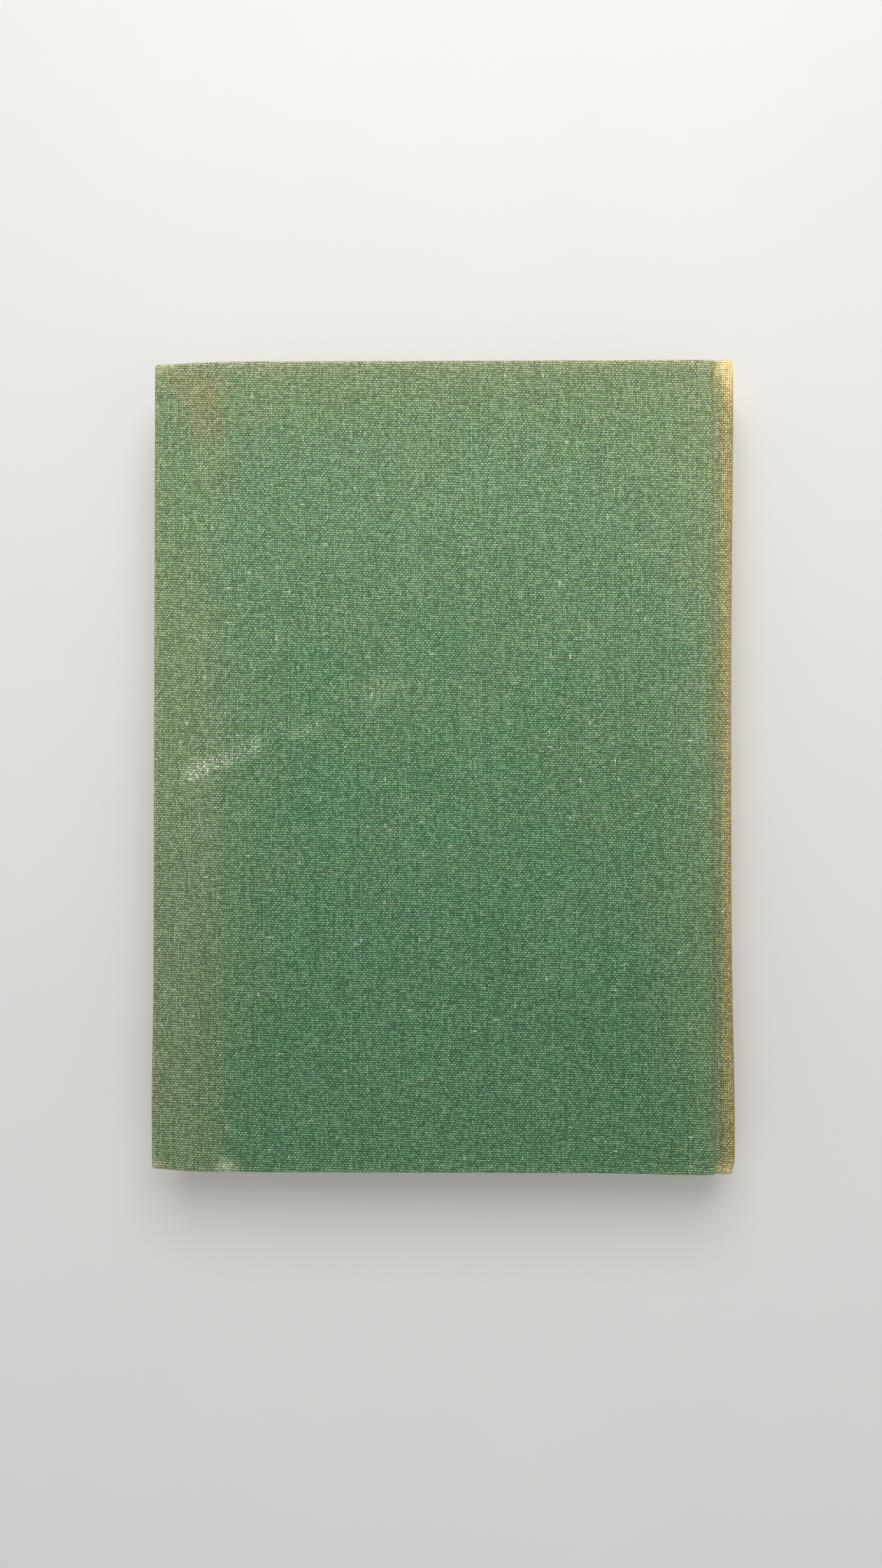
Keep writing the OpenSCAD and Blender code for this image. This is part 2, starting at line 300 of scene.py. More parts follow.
def case_section(case):
    """The case in section. The cloth runs level over the board, down into the valley and up to the
    crest on two S curves of equal arcs, and round the spine on a circle about the leaves' centre.
    The turned-in layer climbs the board's edge and then lies two cloths deep along the normal."""
    layers = 2 * CLOTH_T
    crest_w, valley_w = FACE_W - case.crest_drop / MM, FACE_W - case.joint_depth / MM
    crest_x, roll = JOINT_X + case.joint_crest / MM, case.crest_radius / MM
    fall_r, fall_a = swing(JOINT_X - BOARD_X, case.joint_depth / MM)
    rise_r, rise_a = swing(case.joint_crest / MM, crest_w - valley_w)
    centre, radius = spine_circle(case)
    cloth_r = radius + STACK
    roll_a = math.degrees(math.asin((crest_w - roll) / (cloth_r - roll)))
    roll_c = arc(centre, cloth_r - roll, roll_a, roll_a, 1)[0]
    inlay_a = math.degrees(math.asin(INLAY_HIGH[2] / (cloth_r - CLOTH_T)))

    across = from_edge(case.edge_radius / MM, BOARD_X - FORE_X, case.grid / MM)
    level = np.stack([FORE_X + across, np.full(len(across), FACE_W)], 1)
    outer, inner = [level], [level * [1, 0] + [0, INNER_W]]
    outer.append(arc([BOARD_X, FACE_W - fall_r], fall_r, 90, 90 - fall_a, 9)[1:])
    end = arc([JOINT_X, valley_w + fall_r], fall_r + layers, -90 - fall_a, -90, 2)[0]
    climb = np.linspace(0, 1, 9)[1:]
    edge = BOARD_X + (end[0] - BOARD_X) * np.sin(np.minimum(3 * climb, 1) * np.pi / 2)
    inner.append(np.stack([edge, INNER_W + (end[1] - INNER_W) * climb ** 1.3], 1))
    for middle, bend, side, start, stop, count in (
            ([JOINT_X, valley_w + fall_r], fall_r, 1, -90 - fall_a, -90, 7),
            ([JOINT_X, valley_w + rise_r], rise_r, 1, -90, rise_a - 90, 6),
            ([crest_x, crest_w - rise_r], rise_r, -1, 90 + rise_a, 90, 6),
            (roll_c, roll, -1, 90, roll_a, 9)):
        outer.append(arc(middle, bend, start, stop, count))
        inner.append(arc(middle, bend + side * layers, start, stop, count))
    turn = np.linspace(roll_a, 0, 24)[1:]
    deep = layers + case.inlay / MM * ease(inlay_a + 1.1 - turn, 0, 0.8)
    ray = np.stack([np.cos(np.radians(turn)), np.sin(np.radians(turn))], 1)
    outer.append(centre + cloth_r * ray)
    inner.append(centre + (cloth_r - deep)[:, None] * ray)
    return Section(outer, inner)


def folded(section, run, from_end, share, edge_r, corner_r):
    """x, distance from head or tail, and w of a sharp box folded round. run is the distance from the
    fore-edge, share the part of the depth. Near a corner the square is drawn in to a disc. Near an edge
    a point goes to the nearest one of a box smaller by the radius, and back out by the radius."""
    thick = section.along(run, section.depth)
    radius = np.minimum(edge_r, thick / 2)
    depth = share * thick
    by_run, by_end = np.maximum(corner_r - run, 0), np.maximum(corner_r - from_end, 0)
    inset = corner_r - np.maximum(by_run, by_end)
    slant = np.maximum(np.hypot(by_run, by_end), 1e-9)
    kept_in, kept_deep = np.maximum(inset, radius), np.clip(depth, radius, thick - radius)
    aside, above = inset - kept_in, depth - kept_deep
    far = np.maximum(np.hypot(aside, above), 1e-9)
    inset, depth = kept_in + radius * aside / far, kept_deep + radius * above / far
    run = np.where(by_run > 0, corner_r - (corner_r - inset) * by_run / slant, run)
    from_end = np.where(by_end > 0, corner_r - (corner_r - inset) * by_end / slant, from_end)
    x, w = section.at(run, depth)
    return x, from_end, w


# Shares of the depth at which the side of a cover has its rows
DOWN = np.array([0, 0.05, 0.1, 0.155, 0.21, 0.36, 0.5, 0.64, 0.79, 0.845, 0.9, 0.95, 1])
# Stains on the upper cover: a from the fore-edge, b above the middle, reach in both, turn in degrees,
# strength, colour
STAINS = (
    (10.5, 102, 8, 6.5, 0, 0.4, "stain"),
    (13, 93.5, 6.5, 9, 12, 0.28, "stain"),
    (15, 83, 5, 11, 8, 0.14, "stain"),
    (30.7, 106.5, 6.5, 3.8, 0, 0.28, "stain"),
    (0.8, -87.5, 1.4, 9, 0, 0.25, "stain"),
    (1.5, 107.5, 4, 3, -30, 0.16, "worn"),
    (19.5, -106.6, 4, 2.8, 0, 0.16, "worn"),
    (1, -107.3, 2.6, 2, 0, 0.22, "worn"),
    (152.5, -106.8, 3.2, 2.2, 0, 0.25, "bleached"),
    (61, 20, 7.5, 4.5, 10, 0.04, "worn"),
)
# Scuffs on it, laid out in the same way but without a colour
SCUFFS = (
    (11.5, -1.4, 4.6, 3, 35, 0.85),
    (17, 0.8, 5.5, 2.2, 12, 0.45),
    (24, 4, 7, 2.6, 25, 0.25),
    (27.2, 5, 1.6, 4.5, 0, 0.3),
    (37.5, 9.4, 7, 2.6, 8, 0.22),
    (61, 20, 6.5, 4, 10, 0.05),
    (19.5, -106.8, 3, 1.8, 0, 0.4),
    (152.5, -106.5, 3, 2.4, 0, 0.3),
)
# Where corners and edges are bumped in or flared: x, y, shift in x and in y, reach in x and in y
BUMPS = (
    (FORE_X, HALF_H, 0, -0.8, 11.5, 11),
    (FORE_X, -HALF_H, -0.1, 0.85, 8.5, 9),
    (FORE_X, -0.82 * HALF_H, -0.4, 0, 14, 20),
    (SPINE_X, -0.9 * HALF_H, 0.8, 0, 4, 34),
    (SPINE_X, HALF_H, 0.9, 0.1, 4, 60),
    (0.85 * SPINE_X, -HALF_H, 0, -0.4, 16, 12),
)
# Where the cloth is crushed in on the caps of the spine
CRUSHED = (
    (SPINE_X, -HALF_H, -0.4, 0.4, 1.9, 1.6),
    (SPINE_X, HALF_H, -0.1, -0.25, 1.2, 1.2),
)


# Points of a piece closer together than this, in millimetres, are one
WELD = 0.0005


def bumped(x, y, bumps):
    """x and y after each bump has shifted them by its own amount times a bell curve of the distance."""
    shift_x, shift_y = 0, 0
    for x0, y0, by_x, by_y, reach_x, reach_y in bumps:
        bell = np.exp(-((x - x0) / reach_x) ** 2 - ((y - y0) / reach_y) ** 2)
        shift_x, shift_y = shift_x + by_x * bell, shift_y + by_y * bell
    return x + shift_x, y + shift_y


def piece(name, patches, material, under=False, wall=0):
    """One mesh from grids of points and of flat places in millimetres. Points that meet are welded, a
    face drops each corner that is one of its earlier ones, and a face with fewer than three goes. under
    mirrors a piece of the upper cover to the lower one. wall gives the surface a thickness."""
    points, faces, flats, count = [], [], [], 0
    for grid, flat in patches:
        rows, columns = grid.shape[:2]
        place = np.arange(rows * columns).reshape(rows, columns) + count
        corners = place[:-1, :-1], place[1:, :-1], place[1:, 1:], place[:-1, 1:]
        faces.append(np.stack([corner.ravel() for corner in corners], 1))
        points.append(grid.reshape(-1, 3))
        flats.append(flat.reshape(-1, 2) * MM)
        count += rows * columns
    points, faces, flats = np.concatenate(points), np.concatenate(faces), np.concatenate(flats)
    if under:
        points, faces = points * [1, 1, -1], faces[:, ::-1]
    rounded = (points / WELD).round().astype(int)
    _, first, same = np.unique(rounded, axis=0, return_index=True, return_inverse=True)
    corners = same.ravel()[faces]
    kept = ~np.tril(corners[:, :, None] == corners[:, None, :], -1).any(2)
    kept[kept.sum(1) < 3] = False
    ends = np.cumsum(kept.sum(1)[kept.any(1)])
    mesh = bpy.data.meshes.new(name)
    mesh.from_pydata((points[first] + MIDDLE) * MM, [], np.split(corners[kept], ends[:-1]))
    places = flats[faces[kept]].astype(np.float32)
    mesh.uv_layers.new(name="flat").data.foreach_set("uv", places.ravel())
    mesh.shade_smooth()
    made = bpy.data.objects.new(name, mesh)
    bpy.context.scene.collection.objects.link(made)
    mesh.materials.append(material)
    if wall:
        thick = made.modifiers.new("Thickness", "SOLIDIFY")
        thick.thickness, thick.offset = wall * MM, -1
    return made


def grid_of(*parts):
    """Arrays of one shape, stacked as the last axis, after each is spread to the shape of them all."""
    return np.stack(np.broadcast_arrays(*parts), -1).astype(float)


def turn_in_rows(case):
    """Rows from the innermost of the turn-in out to the face's edge: distance turned in, share of the
    depth."""
    inwards = from_edge(case.edge_radius / MM, case.turn_in / MM, case.grid / MM)
    turned = np.concatenate([inwards[:0:-1], 0 * DOWN])
    return turned, np.concatenate([np.ones(len(inwards) - 1), DOWN[::-1]])


def cloth_patches(case, side):
    """Half of the bookcloth, from the middle of the spine round the fore-edge of a cover. One grid runs
    from the tail's turn-in over the face to the head's; one goes round the fore-edge. Turn-ins meet on
    the corners' diagonals: there a grid is sheared so that it starts on the diagonal."""
    section, edge_r, corner_r = case_section(case), case.edge_radius / MM, case.corner_radius / MM
    turned, share = turn_in_rows(case)
    along = along_book(HALF_H, edge_r, case.grid / MM)
    reach = 3 * case.turn_in / MM

    def sheared(places, start):
        begin = start + case.mitre / MM / 2 * ease(start, 1.5, 2.2)
        return np.where(places < reach, begin + places * (1 - begin / reach), places)

    def laid(run, y, share, flat_run, flat_y):
        x, from_end, w = folded(section, run, HALF_H - np.abs(y), share, edge_r, corner_r)
        x, y = bumped(*bumped(x, np.sign(y) * (HALF_H - from_end), BUMPS), CRUSHED)
        return grid_of(x, y, w), grid_of(side * (flat_run - section.run[-1]), flat_y)

    ends = HALF_H - turned[:-1]
    y = np.concatenate([-ends, along, ends[::-1]])[None, :]
    row_share = np.concatenate([share[:-1], 0 * along, share[-2::-1]])[None, :]
    row_turned = np.concatenate([turned[:-1], 0 * along, turned[-2::-1]])[None, :]
    run = section.run[:, None]
    run = np.where(row_turned > 0, sheared(run, row_turned), run)
    flat_y = y + np.sign(y) * (row_share * section.depth[:, None] + 2 * row_turned)
    wide = laid(run, y, row_share, run, flat_y)

    turned, share, y = turned[:, None], share[:, None], along[None, :]
    y = np.where(turned > 0, np.sign(y) * (HALF_H - sheared(HALF_H - np.abs(y), turned)), y)
    edge = laid(turned + 0 * y, y, share + 0 * y, -share * section.depth[0] - turned + 0 * y, y)
    return [wide, edge]


def board_patches(case):
    """A board, set in by the cloth's thickness: a grid round its tail, face, head and back, and one each
    over its fore-edge and its edge in the joint."""
    edge_r, corner_r = case.edge_radius / MM - CLOTH_T, case.corner_radius / MM - CLOTH_T
    half = HALF_H - CLOTH_T
    across = FORE_X + CLOTH_T + from_edge(edge_r, BOARD_X - FORE_X - CLOTH_T, case.grid / MM)
    section = Section([grid_of(across, BOARD_HIGH[2])], [grid_of(across, BOARD_W)])
    along = along_book(half, edge_r, case.grid / MM)
    middle = len(along) // 2

    def laid(run, y, share):
        x, from_end, w = folded(section, run, half - np.abs(y), share, edge_r, corner_r)
        x, y = bumped(x, np.sign(y) * (half - from_end), BUMPS)
        return grid_of(x, y, w), grid_of(x, y)

    side = np.full(len(DOWN) - 2, half)
    y = np.concatenate([along[middle::-1], -side, along, side, along[:middle - 1:-1]])[None, :]
    share = np.concatenate([
        np.ones(middle + 1), DOWN[-2:0:-1], 0 * along, DOWN[1:-1], np.ones(len(along) - middle)])[None, :]
    run = section.run[:, None]
    wide = laid(run + 0 * y, y + 0 * run, share + 0 * run)
    share, y = DOWN[::-1, None] + 0 * along, along[None, :] + 0 * DOWN[:, None]
    return [wide, laid(0 * y, y, share), laid(0 * y + section.run[-1], y, share[::-1])]


def endpaper_patches(case):
    """The glued-down half of an endpaper, which steps over the edges of the turned-in cloth and of the
    mull, wraps the board's edge and crosses the joint under the cloth to the shoulder's crest."""
    window_x, window_y = FORE_X + case.turn_in / MM, HALF_H - case.turn_in / MM
    edge_x, flap_x, flap_y = BOARD_X + CLOTH_T + PAPER_T, FLAP_LOW[0], FLAP_HIGH[1]
    crest_x = shoulder_x(case)
    wrap_r, crest_w = 0.3, TOP_W + 0.05
    wrap = arc([edge_x - wrap_r, INNER_W - PAPER_T + wrap_r], wrap_r, 0, -90, 5)
    joint = np.linspace(0, 1, 13)
    dip_w = FACE_W - case.joint_depth / MM - 2 * CLOTH_T - PAPER_T
    gutter = grid_of(
        crest_x - PAPER_T + (edge_x - crest_x + PAPER_T) * joint,
        crest_w + (dip_w - crest_w) * np.sin(np.pi * joint) ** 0.8 - 0.1 * joint)
    level_x = spans(
        (edge_x - 0.4, flap_x + 1.5, 14), (flap_x + 1, flap_x - 1.2, 12), (flap_x - 3, window_x + 3, 48),
        (window_x + 1.2, window_x - 1, 12), (window_x - 2.5, LEAF_X, 8))
    level = grid_of(level_x, INNER_W - PAPER_T)
    path = np.concatenate([gutter, wrap, level])
    half = spans(
        (0, flap_y - 2, int(flap_y / (1.5 * case.grid / MM))), (flap_y - 1, flap_y + 1, 9),
        (window_y - 1.2, window_y + 1, 10), (window_y + 2.5, PAGE_HALF, 7))
    y = np.concatenate([-half[:0:-1], half])[None, :]
    x, w = path[:, :1], path[:, 1:]
    flat = np.concatenate([0 * gutter[:, 0], 0 * wrap[:, 0], 1 + 0 * level_x])[:, None]
    under_cloth = 1 - ease(x - window_x, -0.3, 0.7) * ease(window_y - np.abs(y), -0.3, 0.7)
    under_mull = ease(x - flap_x, -0.7, 0.3) * ease(flap_y - np.abs(y), -0.3, 0.7)
    sunk = CLOTH_T - np.maximum(CLOTH_T * under_cloth, MULL_T * under_mull)
    sunk = sunk * flat * ease(edge_x - x, 0.4, 2.4)
    return [(grid_of(x, y, w + sunk), grid_of(run_of(path)[:, None], y))]


def flyleaf_patches(case):
    """The free half of an endpaper, level on the leaves and up the hollow of the shoulder."""
    crest_x = shoulder_x(case)
    hollow = case.shoulder / MM
    level = grid_of(np.linspace(LEAF_X, crest_x - hollow, 60), LEAF_W + PAPER_T)
    rise = arc([crest_x - hollow, TOP_W], hollow - PAPER_T, -90, 0, 12)
    path = np.concatenate([level, rise[1:]])
    run = run_of(path)[:, None]
    y = np.linspace(-PAGE_HALF, PAGE_HALF, 90)[None, :]
    flat = ease(crest_x - hollow - path[:, :1], 0, 12)
    wave = 0.03 * flat * (np.sin(run / 21 + 1.3 * np.sin(y / 33)) + np.sin(y / 27 + run / 40))
    trim = 0.08 * np.sin(y / 18) * (1 - ease(run, 0, 6))
    return [(grid_of(path[:, :1] + trim, y, path[:, 1:] + wave), grid_of(run[-1] - run, y))]


def leaves_patches(case, looks):
    """The leaves as one closed solid. Row by row up the block each leaf's edge and the gap above it go
    round tail, fore-edge, head and spine; the leaves fan out towards the shoulders with the cube of
    their height. Two grids close the block above and below."""
    rng = np.random.default_rng(11)
    count = looks.leaves
    s = np.linspace(-1, 1, 2 * count + 1)
    number_up = np.arange(2 * count + 1)
    gap = number_up % 2 == 0
    opened = gap & (number_up % (2 * looks.section) == 0)
    gap_deep, section_deep = 0.045, 0.05
    inset = np.where(gap, gap_deep, rng.uniform(0, looks.uneven / MM, len(s))) + section_deep * opened
    inset[[0, -1]] = 0
    drift = np.cumsum(rng.normal(0, 0.012, len(s)))
    inset = inset + np.abs(drift - np.linspace(drift[0], drift[-1], len(s)))
    rise, hollow = case.spine_rise / MM, case.shoulder / MM
    centre, radius = spine_circle(case)
    crest_x = shoulder_x(case)
    fore_r = round_of(LEAF_W, rise)

    def height(x, s):
        level = 1 - np.clip(crest_x - x, 0, hollow) / hollow
        top = TOP_W - (TOP_W - LEAF_W) * np.sqrt(1 - level ** 2)
        return s * (LEAF_W + (top - LEAF_W) * s * s)

    def place(across, y, s, inset):
        fore = LEAF_X + rise - fore_r + np.sqrt(fore_r ** 2 - (s * LEAF_W) ** 2) + inset
        spine = centre[0] + np.sqrt(np.maximum(radius ** 2 - height(crest_x + 1, s) ** 2, 0)) - inset * 0.3
        x = fore + across * (spine - fore)
        return grid_of(x, y * (PAGE_HALF - inset), height(x, s))

    across = spans((0, 0.004, 2), (0.015, 0.96, 26), (0.965, 1, 22))
    up = np.linspace(-1, 1, 44)
    one = np.ones(len(up))
    loop_x = np.concatenate([across[::-1], 0 * one[1:-1], across, one[1:-1]])
    loop_y = np.concatenate([0 * across - 1, up[1:-1], 0 * across + 1, up[-2:0:-1]])
    loop_x, loop_y = np.append(loop_x, loop_x[0])[None, :], np.append(loop_y, loop_y[0])[None, :]
    round_it = place(loop_x, loop_y, s[:, None], inset[:, None])
    caps = [place(across[:, None], up[None, :], level, 0) for level in (1, -1)]
    caps[1] = caps[1][::-1]
    return [(grid, grid[..., :2]) for grid in (round_it, *caps)]


def tube(path, radius, across, upright, sides=14):
    """A closed tube: circles about a path, spanned by two unit vectors at each point. Its radius may
    change along the path, and is nothing at both ends."""
    turn = np.linspace(0, 2 * np.pi, sides + 1)[None, :, None]
    rim = np.cos(turn) * across[:, None, :] + np.sin(turn) * upright[:, None, :]
    grid = path[:, None, :] + radius[:, None, None] * rim
    return grid, grid_of(run_of(path)[:, None], turn[..., 0])


def band_patches(case, looks, end):
    """A bead that follows the leaves' round at head (1) or tail (-1), ridged by its thread, and the tape
    under it, which lies on the spine."""
    centre, radius = spine_circle(case)
    bead, thread = looks.bead / MM, looks.thread / MM
    reach = math.asin((TOP_W - case.shoulder_crest / MM) / radius)
    turn = np.linspace(-reach, reach, 480)
    ray = grid_of(np.cos(turn), 0, np.sin(turn))
    run = (turn + reach) * radius
    ends = np.minimum(run, run[-1] - run)
    ridged = bead * (0.9 + 0.1 * np.abs(np.sin(np.pi * run / thread)))
    round_end = np.sqrt(np.clip(1 - (1 - np.minimum(ends, 0.5) / 0.5) ** 2, 0, 1))
    origin, y = np.array([centre[0], 0, 0]), np.array([0, 1, 0])
    path = origin + (radius - looks.set_in / MM) * ray + y * end * (PAGE_HALF + bead)
    low, high, down = 0.02, 0.2, TAPE_Y - PAGE_HALF
    tape = np.array([[low, down], [low, bead], [high, bead], [high, down], [low, down]])[::end]
    shut = np.minimum(1, ends / 0.3)[::4, None]
    lift = (low + high) / 2 + (tape[None, :, 0] - (low + high) / 2) * shut
    grid = origin + (radius + lift)[..., None] * ray[::4, None, :]
    grid = grid + y * end * (PAGE_HALF + tape[None, :, 1:])
    return [
        tube(path, ridged * round_end, y + 0 * ray, ray),
        (grid, grid_of(run[::4, None], tape[None, :, 1]))]


def math_node(operation, swapped=False):
    """An operator that adds a Math node for this operation, with its two sides swapped or not."""
    def use(self, other=0):
        sides = (other, self) if swapped else (self, other)
        return self.shader.node("ShaderNodeMath", {"operation": operation}, dict(enumerate(sides)))
    return use


class Value:
    """A shader socket that works in expressions: each operator adds its node."""

    def __init__(self, shader, socket):
        self.shader, self.socket = shader, socket

    __add__ = __radd__ = math_node("ADD")
    __mul__ = __rmul__ = math_node("MULTIPLY")
    __sub__, __rsub__ = math_node("SUBTRACT"), math_node("SUBTRACT", True)
    __truediv__, __pow__, __gt__ = math_node("DIVIDE"), math_node("POWER"), math_node("GREATER_THAN")
    at_most, at_least = math_node("MINIMUM"), math_node("MAXIMUM")
    floor, fraction, size = math_node("FLOOR"), math_node("FRACT"), math_node("ABSOLUTE")
    sine, cosine, exp = math_node("SINE"), math_node("COSINE"), math_node("EXPONENT")

    def fading(self, reach):
        """1 at nothing, and smaller by a factor of e for each reach more."""
        return (self * (-1 / reach)).exp()


class Shader:
    """The nodes of a material, or of the world. node() adds any of them; the rest are short ways to the
    most used."""

    def __init__(self, name, kind="materials"):
        self.owner = getattr(bpy.data, kind).new(name)
        self.owner.use_nodes = True
        self.tree = self.owner.node_tree
        self.tree.nodes.clear()

    def node(self, kind, settings, sockets, output=0):
        """Adds a node, makes its settings, and then fills its sockets with numbers or links."""
        made = self.tree.nodes.new(kind)
        for name, value in settings.items():
            setattr(made, name, value)
        for key, value in sockets.items():
            if isinstance(value, Value):
                self.tree.links.new(value.socket, made.inputs[key])
            elif made.inputs[key].type == "RGBA":
                made.inputs[key].default_value = (*value, 1)
            else:
                made.inputs[key].default_value = value
        return Value(self, made.outputs[output]) if made.outputs else made

    def mix(self, one, other, share):
        """A colour between two, by share."""
        return self.node("ShaderNodeMix", {"data_type": "RGBA"}, {0: share, 6: one, 7: other}, 2)

    def scaled(self, shade, by):
        """A colour or a vector, scaled by a number."""
        return self.node("ShaderNodeVectorMath", {"operation": "SCALE"}, {0: shade, "Scale": by})

    def ease(self, value, low, high):
        """0 below low and 1 above high, smooth between them."""
        return self.node(
            "ShaderNodeMapRange", {"interpolation_type": "SMOOTHSTEP"}, {0: value, 1: low, 2: high})

    def parts(self, vector):
        """The three numbers of a vector."""
        split = self.node("ShaderNodeSeparateXYZ", {}, {0: vector}).socket.node
        return [Value(self, out) for out in split.outputs]

    def vector(self, *parts):
        """A vector of three numbers."""
        return self.node("ShaderNodeCombineXYZ", {}, dict(enumerate(parts)))

    def noise(self, vector, scale, detail):
        """Smooth noise from 0 to 1; scale is its number of lumps for each unit of length."""
        return self.node("ShaderNodeTexNoise", {}, {"Vector": vector, "Scale": scale, "Detail": detail})

    def chance(self, *parts):
        """An even random number from 0 to 1 for each vector of whole numbers."""
        return self.node("ShaderNodeTexWhiteNoise", {"noise_dimensions": "3D"}, {0: self.vector(*parts)})

    def flat(self):
        """Places on the flat sheet, in millimetres."""
        place = self.node("ShaderNodeUVMap", {"uv_map": "flat"}, {})
        return self.scaled(place, 1 / MM)

    def object(self):
        """Places on the piece, in millimetres."""
        return self.scaled(self.node("ShaderNodeTexCoord", {}, {}, 3), 1 / MM)

    def seen(self, lit, pale, share=1):
        """A shader lit by the scene, mixed by share with an even pale one. Only rays that come straight
        from the camera, or by way of a shiny or clear surface, meet the pale one."""
        rays = self.node("ShaderNodeLightPath", {}, {}).socket.node.outputs
        camera, glossy, clear = (
            Value(self, rays[name]) for name in ("Is Camera Ray", "Is Glossy Ray", "Is Transmission Ray"))
        return self.node("ShaderNodeMixShader", {}, {
            0: (camera + glossy + clear).at_most(1) * share, 1: lit, 2: pale})

    def surface(self, shade, roughness, height, relief, gloss=0.25):
        """A Principled surface with a bump. height is from 0 to 1, relief in millimetres."""
        bump = self.node("ShaderNodeBump", {}, {"Height": height, "Strength": 1, "Distance": relief * MM})
        return self.node("ShaderNodeBsdfPrincipled", {}, {
            "Base Color": shade, "Roughness": roughness, "Normal": bump, "Specular IOR Level": gloss})

    def finish(self, *surface):
        """The material, with such a surface as its output."""
        self.node("ShaderNodeOutputMaterial", {}, {0: self.surface(*surface)})
        return self.owner


def weave(shader, looks, places):
    """A plain weave: its height, and how bright each thread is: its own random tone, with the warp kept
    darker as painted shade where it lies lower. A thread's height is a power of the parabola across it (s
    for weft, t for warp), times a share that a cosine along it raises where it lies on top, so that warp
    and weft take turns. Each thread sways by its own noise, and each float of weft leans with the twist."""
    u, v, _ = shader.parts(places)
    drift = (shader.noise(places, 0.016, 1) - 0.5) * 2 + (shader.noise(places, 0.2, 2) - 0.5) * 0.5
    across = (u + drift * 0.4) / (looks.warp / MM)
    along = (v + u * looks.slope + drift) / (looks.weft / MM)
    column, row = across.floor(), along.floor()
    slub_weft = shader.noise(shader.vector(across * 0.07, row * 7.3, 0), 1, 2)
    slub_warp = shader.noise(shader.vector(column * 7.3, along * 0.02, 5), 1, 2)
    sway_weft = shader.noise(shader.vector(across * 0.12, row * 5.7, 12), 1, 2) - 0.5
    sway_warp = shader.noise(shader.vector(column * 5.7, along * 0.12, 17), 1, 2) - 0.5
    beat = across - 0.5 + row
    lean = (beat * 0.5 + 0.5).fraction() - 0.5
    s = along.fraction() + sway_weft * 0.5 - lean * 0.1
    t = across.fraction() + sway_warp * 0.4
    over_weft = (beat * math.pi).cosine() * 0.5 + 0.5
    over_warp = (0.5 - ((along - 0.5 + column) * math.pi).cosine() * 0.5) ** 1.15
    weft = ((s * (1 - s) * 4).at_least(0) ** 1.66) * (over_weft * 0.66 + 0.34)
    warp = ((t * (1 - t) * 4).at_least(0) ** 1.23) * (over_warp * 0.5 + 0.43)
    height = weft.at_least(warp)
    over = weft > warp
    crossing = shader.chance(column, row, over) * 0.6
    # The warp keeps less light than the weft: painted shade where it lies lower; the rest is random tone
    weft_light = crossing + slub_weft * 0.22 + 0.685
    warp_light = crossing + slub_warp * 0.6 + 0.205
    return height, over * weft_light + (1 - over) * warp_light


def spot(u, v, total, ragged, a, b, wide, high, degrees):
    """1 in a soft-edged oval on the sheet, 0 away from it. a is its distance from the fore-edge, b how far
    above the middle it is, and ragged the noise that moves its edge."""
    turn, du, dv = math.radians(degrees), u - (a - total), v - b
    along = (du * math.cos(turn) + dv * math.sin(turn)) / wide
    across = (dv * math.cos(turn) - du * math.sin(turn)) / high
    return 1 - u.shader.ease((along * along + across * across) ** 0.5 + ragged, 0.3, 1.35)


def scuffed(shader, looks, shade, places, total, ragged):
    """The cloth with its stains, and with its scuffs: flecks of bare thread, close together in a spot."""
    u, v, _ = shader.parts(places)
    flecks = shader.ease(shader.noise(places, 1.5, 2), 0.5, 0.66)
    for *oval, strength, tone in STAINS:
        shade = shader.mix(shade, getattr(looks, tone), spot(u, v, total, ragged, *oval) * strength)
    bare = 0
    for *oval, strength in SCUFFS:
        bare = bare + spot(u, v, total, ragged, *oval) * strength
    upright = shader.noise(shader.vector(u * 1.1, v * 0.4, 3), 1, 0)
    level = shader.noise(shader.vector(u * 0.35, v * 1.3, 8), 1, 0)
    slubs = shader.ease(upright, 0.79, 0.86) * 0.35 + shader.ease(level, 0.79, 0.86) * 0.35
    return shader.mix(shade, looks.scuffed, (bare * (flecks * 0.9 + 0.1) + slubs).at_most(0.85))


